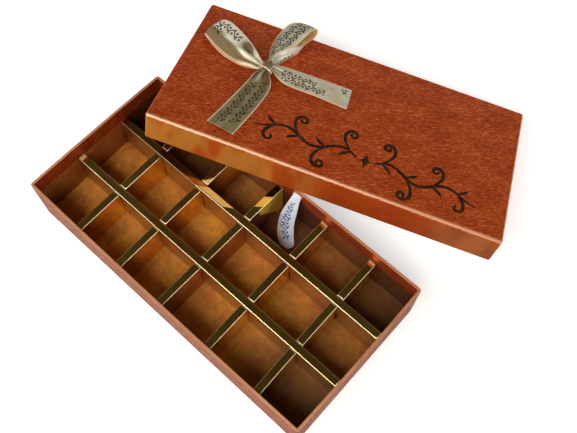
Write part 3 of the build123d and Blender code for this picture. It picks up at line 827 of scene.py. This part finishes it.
# The bow's two edges: a place on the first and then on the second in each row, in the ribbon's widths from the knot
left_loop = (
    (-0.19, -0.13, 0.17, -0.19, 0.02, 0.26), (-0.35, -0.27, 0.12, -0.32, 0.08, 0.35),
    (-0.66, -0.26, 0.1, -0.48, 0.2, 0.44), (-0.99, -0.3, 0.1, -0.69, 0.36, 0.52),
    (-1.4, -0.19, 0.1, -0.98, 0.58, 0.58), (-1.76, -0.07, 0.1, -1.37, 0.83, 0.62),
    (-2.21, 0.17, 0.11, -1.77, 1.08, 0.62), (-2.57, 0.39, 0.15, -2.06, 1.24, 0.57),
    (-2.72, 0.48, 0.19, -2.29, 1.3, 0.48), (-2.77, 0.55, 0.12, -2.44, 1.33, 0.3),
    (-2.65, 0.52, 0.04, -2.28, 1.25, 0.13), (-2.25, 0.19, 0.03, -1.82, 1.07, 0.05),
    (-1.78, -0.09, 0.03, -1.36, 0.79, 0.04), (-1.36, -0.23, 0.03, -1.0, 0.59, 0.04),
    (-1.0, -0.29, 0.03, -0.72, 0.38, 0.06), (-0.64, -0.27, 0.03, -0.46, 0.16, 0.07),
    (-0.26, -0.2, 0.06, -0.19, 0.0, 0.11),
)
right_loop = (
    (-0.06, 0.2, 0.2, 0.02, 0.23, 0.28), (-0.13, 0.62, 0.23, 0.12, 0.59, 0.35),
    (-0.18, 0.91, 0.28, 0.34, 0.77, 0.41), (-0.17, 1.25, 0.34, 0.54, 0.95, 0.47),
    (-0.12, 1.62, 0.39, 0.7, 1.15, 0.53), (-0.04, 1.94, 0.44, 0.82, 1.48, 0.59),
    (0.06, 2.21, 0.49, 0.94, 1.8, 0.65), (0.21, 2.38, 0.55, 1.07, 2.11, 0.7),
    (0.41, 2.5, 0.57, 1.22, 2.34, 0.68), (0.52, 2.62, 0.49, 1.24, 2.42, 0.56),
    (0.52, 2.56, 0.37, 1.27, 2.36, 0.47), (0.5, 2.35, 0.25, 1.23, 2.09, 0.45),
    (0.56, 1.74, 0.08, 1.12, 1.68, 0.55), (0.8, 1.5, 0.04, 0.97, 1.27, 0.62),
    (0.82, 1.36, 0.03, 0.74, 1.06, 0.63), (0.65, 1.06, 0.03, 0.53, 0.89, 0.59),
    (0.49, 0.73, 0.04, 0.31, 0.71, 0.53), (0.34, 0.42, 0.06, 0.14, 0.53, 0.45),
    (0.16, 0.2, 0.13, 0.04, 0.26, 0.33),
)
left_tail = (
    (0.12, -0.2, 0.13, -0.13, -0.22, 0.14), (0.26, -0.45, 0.13, -0.34, -0.43, 0.1),
    (0.39, -0.72, 0.12, -0.43, -0.85, 0.12), (0.45, -1.11, 0.08, -0.55, -1.37, 0.1),
    (0.36, -1.8, 0.04, -0.71, -1.94, 0.06), (0.16, -2.76, 0.03, -0.92, -2.71, 0.03),
    (-0.06, -3.68, 0.03, -1.13, -3.47, 0.03),
)
right_tail = (
    (0.16, 0.2, 0.17, 0.17, -0.06, 0.16), (0.55, 0.31, 0.15, 0.47, -0.3, 0.12),
    (0.95, 0.35, 0.13, 0.8, -0.49, 0.09), (1.47, 0.42, 0.08, 1.33, -0.5, 0.04),
    (2.32, 0.47, 0.04, 2.22, -0.51, 0.03), (3.34, 0.47, 0.03, 3.39, -0.61, 0.03),
)
LOOP_PLEATS = (
    (0.49, 0.065, 2.3, 34.0, 12.0),
    (0.74, 0.1, -1.6, 34.0, 10.0),
    (0.28, 0.08, -1.2, 24.0, 8.0),
    (0.93, 0.06, 0.6, 24.0, 8.0),
)
BACK_PLEATS = (
    (0.3, 0.07, 0.9, 20.0, 20.0),
    (0.5, 0.08, -0.9, 22.0, 18.0),
    (0.72, 0.07, 0.8, 18.0, 16.0),
)
TAIL_PLEATS = (
    (0.3, 0.06, 1.1, 22.0, 0.0),
    (0.45, 0.065, -0.9, 26.0, 0.0),
    (0.62, 0.065, 1.2, 24.0, 0.0),
    (0.8, 0.06, -0.6, 16.0, 0.0),
)
for piece_name, node_name, edges, cup, pleats, front in (
    ("ribbon_left_loop", "bow_left_loop", left_loop, 1.0, LOOP_PLEATS, lit_tip_satin),
    ("ribbon_right_loop", "bow_right_loop", right_loop, 0.7, BACK_PLEATS, half_lit_satin),
    ("ribbon_left_tail", "bow_left_tail", left_tail, 0.5, TAIL_PLEATS, shaded_satin),
    ("ribbon_right_tail", "bow_right_tail", right_tail, 0.4, TAIL_PLEATS, lit_satin),
):
    pairs, cloths = bow_points(edges), [front, back_satin]
    strand, strand_length = ribbon_strand(piece_name, pairs, RIBBON_WIDTH, 0.22, cloths, "lid", cup, pleats)
    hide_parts(node_name)
    held = "folded" if "loop" in piece_name else "laid"

# ---- Knot: a pinched turn of the same ribbon, drawn in at its middle and creased, with a rolled fold along its front
KNOT_ROUND, KNOT_WIDE = 64, 24
KNOT_HALF, KNOT_LEVEL = 4.0, 3.7
KNOT_RADIUS_ACROSS, KNOT_RADIUS_UP = 4.2, 2.7
shape = bmesh.new()
knot_layer = shape.loops.layers.uv.new("ribbon")
knot_rows = []
for around in range(KNOT_ROUND):
    angle = 2.0 * math.pi * around / KNOT_ROUND
    skew = 0.2 * math.sin(angle)
    ring = []
    for place in range(KNOT_WIDE + 1):
        w = place / KNOT_WIDE * 2.0 - 1.0
        crease = 0.55 * math.sin(4.0 * math.pi * w + 1.6 * math.sin(angle) + 0.7) * (1.0 - 0.25 * abs(w))
        swell = 1.0 - 0.22 * w * w
        across = (KNOT_RADIUS_ACROSS + crease) * swell * math.cos(angle) + 0.6 * w
        up = KNOT_LEVEL + (KNOT_RADIUS_UP + 0.7 * crease) * swell * math.sin(angle)
        ring.append(shape.verts.new(by_knot(w * KNOT_HALF + skew, across, up)))
    knot_rows.append(ring)
knot_runs = [around * 0.45 for around in range(KNOT_ROUND + 1)]
cover(shape, knot_layer, knot_rows + knot_rows[:1], knot_runs, RIBBON_WIDTH)
for side in (0, KNOT_WIDE):
    ends = [ring[side] for ring in knot_rows]
    centre = shape.verts.new(sum((vert.co for vert in ends), Vector()) / len(ends))
    for around in range(KNOT_ROUND):
        shape.faces.new((ends[around], ends[(around + 1) % KNOT_ROUND], centre))

# The rolled fold: two strands twisted about each other along the knot's near side. Its line is given by the knot.
ROLL = ((-6.0, -2.6, 4.3), (-3.8, -3.3, 5.3), (-1.4, -4.0, 5.8), (1.4, -4.7, 5.5), (3.6, -5.4, 4.9), (5.4, -6.6, 3.8))
ROLL_TURNS, ROLL_SIDES = 1.9, 10
ROLL_APART, ROLL_RADIUS = 0.36, 0.42
ROLL_SLOT = 1
roll_line = curve_through([Vector(place) for place in ROLL], 12)
for strand_turn in (0.0, math.pi):
    rings = []
    for index, centre in enumerate(roll_line):
        share = index / (len(roll_line) - 1)
        heading = heading_at(roll_line, index)
        side = heading.cross(Vector((0.0, 0.0, 1.0))).normalized()
        rise = side.cross(heading)
        thin = 0.45 + 0.55 * math.sin(math.pi * (0.12 + 0.76 * share))
        twist = 2.0 * math.pi * ROLL_TURNS * share + strand_turn
        middle = centre + (side * math.cos(twist) + rise * math.sin(twist)) * (ROLL_APART * thin)
        ring = []
        for corner in range(ROLL_SIDES):
            turn = 2.0 * math.pi * corner / ROLL_SIDES
            place = middle + (side * math.cos(turn) + rise * math.sin(turn)) * (ROLL_RADIUS * thin)
            ring.append(shape.verts.new(by_knot(*place)))
        rings.append(ring)
    for face, index, corner in faces_between(shape, [ring + ring[:1] for ring in rings]):
        face.material_index = ROLL_SLOT
        for loop in face.loops:
            loop[knot_layer].uv = (index * 0.8, 3.0 + corner * 1.4)
    for ring in (rings[0], rings[-1]):
        shape.faces.new(ring).material_index = ROLL_SLOT
bmesh.ops.recalc_face_normals(shape, faces=shape.faces)
# The knot in a darker satin, painted shade; its rolled fold in a paler one, a painted highlight
knot = link("ribbon_knot", to_mesh(shape, "ribbon_knot", 75.0), "lid", "ribbon", [shaded_knot_satin, cord_highlight_satin])
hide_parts("bow_knot")

# ---- Loose ribbon strip inside the tray: the middle, direction and width of places down its length
strip_places = (
    ((18.2, 61.2, 43.9), (0.86, 0.06), 6.2),
    ((18.4, 60.2, 42.0), (0.74, 0.3), 6.8),
    ((18.2, 56.6, 35.8), (0.74, 0.6), 9.0),
    ((18.2, 52.2, 26.0), (0.74, 0.67), 12.0),
    ((19.5, 47.8, 16.2), (0.74, 0.67), 12.4),
    ((22.1, 44.2, 8.4), (0.74, 0.67), 12.4),
    ((25.8, 41.0, 3.8), (0.74, 0.67), 11.6),
    ((29.1, 39.4, 3.3), (0.68, 0.73), 8.8),
    ((31.4, 38.6, 3.0), (0.42, 0.91), 4.4),
)
strip_pairs = []
for centre, direction, width in strip_places:
    half = Vector((*direction, 0.0)).normalized() * (width / 2.0)
    strip_pairs.append((Vector(centre) - half, Vector(centre) + half))
strip, strip_length = ribbon_strand(
    "loose_ribbon_strip", strip_pairs, 12.5, 0.2, [lit_loose_satin], "tray", 0.7, (), columns=16
)
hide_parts("loose_ribbon")


# ---- Ornament in the place of the lid's lettering: a scroll of our own, mirrored about its middle
STROKE_SECTION = ((-1.0, 0.02), (-0.6, 0.1), (0.0, 0.13), (0.6, 0.1), (1.0, 0.02), (1.0, -0.05), (-1.0, -0.05))


def stroke(shape, points, widths):
    """A raised stroke on the lid, through points given along and across the lid, stamped a little into its paper."""
    line = [Vector(point) for point in points]
    rows = []
    for index, (centre, width) in enumerate(zip(line, widths)):
        heading = heading_at(line, index)
        side = Vector((-heading.y, heading.x))
        row = []
        for share, rise in STROKE_SECTION:
            place = centre + side * (width / 2.0 * share)
            row.append(shape.verts.new(on_lid(place.x, place.y, LID_HEIGHT + rise)))
        rows.append(row)
    for first, second in zip(rows, rows[1:]):
        for column in range(len(STROKE_SECTION)):
            following = (column + 1) % len(STROKE_SECTION)
            shape.faces.new((first[following], first[column], second[column], second[following]))
    shape.faces.new(rows[0])
    shape.faces.new(rows[-1][::-1])


def swelling(count, thin, swell, start, share, power):
    """Widths along a stroke that is thin at its ends: a share of a sine's first half, from a start."""
    return [thin + swell * math.sin(math.pi * (start + share * step / count)) ** power for step in range(count + 1)]


def scroll(start, heading, turn_start, turn_end, length, count):
    """Points of a curl whose bend grows evenly from turn_start to turn_end, in radians a millimetre."""
    points = [start]
    angle = heading
    for index in range(count):
        t = (index + 0.5) / count
        angle += (turn_start + (turn_end - turn_start) * t * t) * length / count
        last = points[-1]
        points.append((last[0] + math.cos(angle) * length / count, last[1] + math.sin(angle) * length / count))
    return points


shape = bmesh.new()
ORNAMENT_MIDDLE, ORNAMENT_LEVEL, ORNAMENT_FALL = 157.0, 28.5, -0.03
STEM_START, STEM_LENGTH, STEM_WAVE, STEM_SWING, STEM_STEPS = 7.0, 78.0, 44.0, 5.0, 120
CURL_STEPS, LEAF_STEPS, LEAF_LENGTH = 70, 24, 11.0
# Each curl with its leaf: its share of the stem, its side and its length
CURLS = ((0.06, 1.0, 40.0), (0.3, -1.0, 40.0), (0.56, 1.0, 36.0), (0.8, -1.0, 26.0))
stem = []
for step in range(STEM_STEPS + 1):
    x = STEM_START + STEM_LENGTH * step / STEM_STEPS
    swing = STEM_SWING * math.sin(2.0 * math.pi * (x - STEM_START) / STEM_WAVE)
    stem.append((x, swing * (1.0 - 0.25 * step / STEM_STEPS)))
strokes = [(stem, swelling(STEM_STEPS, 0.5, 2.3, 0.1, 0.9, 0.5))]
for share, side, length in CURLS:
    index = int(share * STEM_STEPS)
    here, there = Vector(stem[index]), Vector(stem[index + 1])
    heading = math.atan2(there.y - here.y, there.x - here.x) + side * 0.3
    curl = scroll(stem[index], heading, side * 0.015, side * 0.58, length, CURL_STEPS)
    leaf = scroll(stem[index], heading - side * 1.25, -side * 0.01, -side * 0.2, LEAF_LENGTH, LEAF_STEPS)
    strokes.append((curl, swelling(CURL_STEPS, 0.4, 2.3, 0.05, 0.8, 0.6)))
    strokes.append((leaf, swelling(LEAF_STEPS, 0.3, 2.6, 0.02, 0.96, 1.2)))
for mirror in (-1.0, 1.0):
    for points, widths in strokes:
        placed = [(ORNAMENT_MIDDLE + mirror * x, ORNAMENT_LEVEL + y + mirror * x * ORNAMENT_FALL) for x, y in points]
        stroke(shape, placed, widths)
# The star at its middle: a pointed bar along the lid and a longer one across it
BAR_HALF, BAR_STEPS = 4.2, 8
bar_steps = range(-BAR_STEPS, BAR_STEPS + 1)
bar_widths = [0.3 + 6.0 * (1.0 - abs(step) / BAR_STEPS) ** 1.4 for step in bar_steps]
for along, across in ((1.0, 0.0), (0.0, 1.6)):
    bar = [BAR_HALF * step / BAR_STEPS for step in bar_steps]
    stroke(shape, [(ORNAMENT_MIDDLE + along * x, ORNAMENT_LEVEL + across * x) for x in bar], bar_widths)
bmesh.ops.recalc_face_normals(shape, faces=shape.faces)
ornament = link("lid_ornament", to_mesh(shape, "lid_ornament", 60.0), "lid", "ribbon", [dark_foil()])

# ---- Floor, world, lamps and camera
FLOOR_HALF, FLOOR_GLOW = 4.0, 0.5
tree = Tree("pale_floor")
tree.base(tree.noise(tree.place(), 3.0), (0.3, (0.86, 0.86, 0.86)), (0.7, (0.88, 0.88, 0.88)))
floor_diffuse = tree.add("BsdfDiffuse", {"Color": tree.colour})
rays = tree.add("LightPath").outputs
seen = tree.most(rays["Is Camera Ray"], rays["Is Glossy Ray"], rays["Is Transmission Ray"])
floor_light = tree.add("Emission", {"Color": (1.0, 1.0, 1.0), "Strength": tree.times(seen, FLOOR_GLOW)})
floor_both = tree.add("AddShader", {0: floor_diffuse.outputs[0], 1: floor_light.outputs[0]})
floor_mesh = bpy.data.meshes.new("floor")
floor_corners = [(x * FLOOR_HALF, y * FLOOR_HALF, 0.0) for x, y in ((-1, -1), (1, -1), (1, 1), (-1, 1))]
floor_mesh.from_pydata(floor_corners, [], [(0, 1, 2, 3)])
floor_mesh.materials.append(tree.finish(floor_both))
floor = new_object("floor", floor_mesh)

# The world by height, from straight down to straight up
WORLD_STOPS = (
    (0.0, (0.95, 0.95, 0.95)),
    (0.25, (0.78, 0.78, 0.77)),
    (0.5, (0.36, 0.34, 0.31)),
    (0.72, (0.078, 0.064, 0.036)),
    (1.0, (0.04, 0.037, 0.017)),
)
tree = Tree("studio", "worlds", "OutputWorld")
tree.base(tree.split(tree.add("TexCoord").outputs["Generated"])["Z"], *WORLD_STOPS)
bpy.context.scene.world = tree.finish(tree.add("Background", {"Color": tree.colour}))


def lamp(name, place, target, size, power, colour):
    """A rectangular lamp at a place, turned to a target."""
    data = bpy.data.lights.new(name, "AREA")
    data.shape = "RECTANGLE"
    data.size, data.size_y = size
    data.energy = power
    data.color = colour
    lamp_object = new_object(name, data)
    lamp_object.location = place
    lamp_object.rotation_euler = (Vector(target) - Vector(place)).to_track_quat("-Z", "Y").to_euler()


lamp("key", (0.1, -0.72, 1.2), (0.0, 0.02, 0.0), (1.1, 0.5), 13.5, (1.0, 0.97, 0.93))
lamp("front", (-0.6, -0.95, 0.7), (-0.1, 0.0, 0.0), (0.9, 0.5), 5.0, (1.0, 0.96, 0.9))
lamp("side", (1.2, 0.42, 0.66), (0.0, 0.0, 0.0), (0.7, 0.6), 4.0, (1.0, 0.96, 0.9))

# The camera that was fitted to the photograph: its focal length in pixels, its place in millimetres and its axes
FOCAL_PIXELS, PHOTO_PIXELS, SENSOR_WIDTH = 747.691, 577.0, 36.0
CAMERA_PLACE = Vector((168.31, -120.32, 531.58))
camera_right = Vector((0.74209, 0.67026, 0.00766)).normalized()
camera_forward = Vector((-0.2681, 0.30727, -0.91307)).normalized()
camera_up = camera_right.cross(camera_forward).normalized()
camera_data = bpy.data.cameras.new("camera")
camera_data.sensor_width = SENSOR_WIDTH
camera_data.lens = FOCAL_PIXELS * SENSOR_WIDTH / PHOTO_PIXELS
camera = new_object("camera", camera_data)
camera_turn = Matrix((camera_right, camera_up, -camera_forward)).transposed().to_4x4()
camera.matrix_world = Matrix.Translation(CAMERA_PLACE * MM) @ camera_turn
bpy.context.scene.camera = camera
bpy.context.scene.view_settings.view_transform = "Standard"
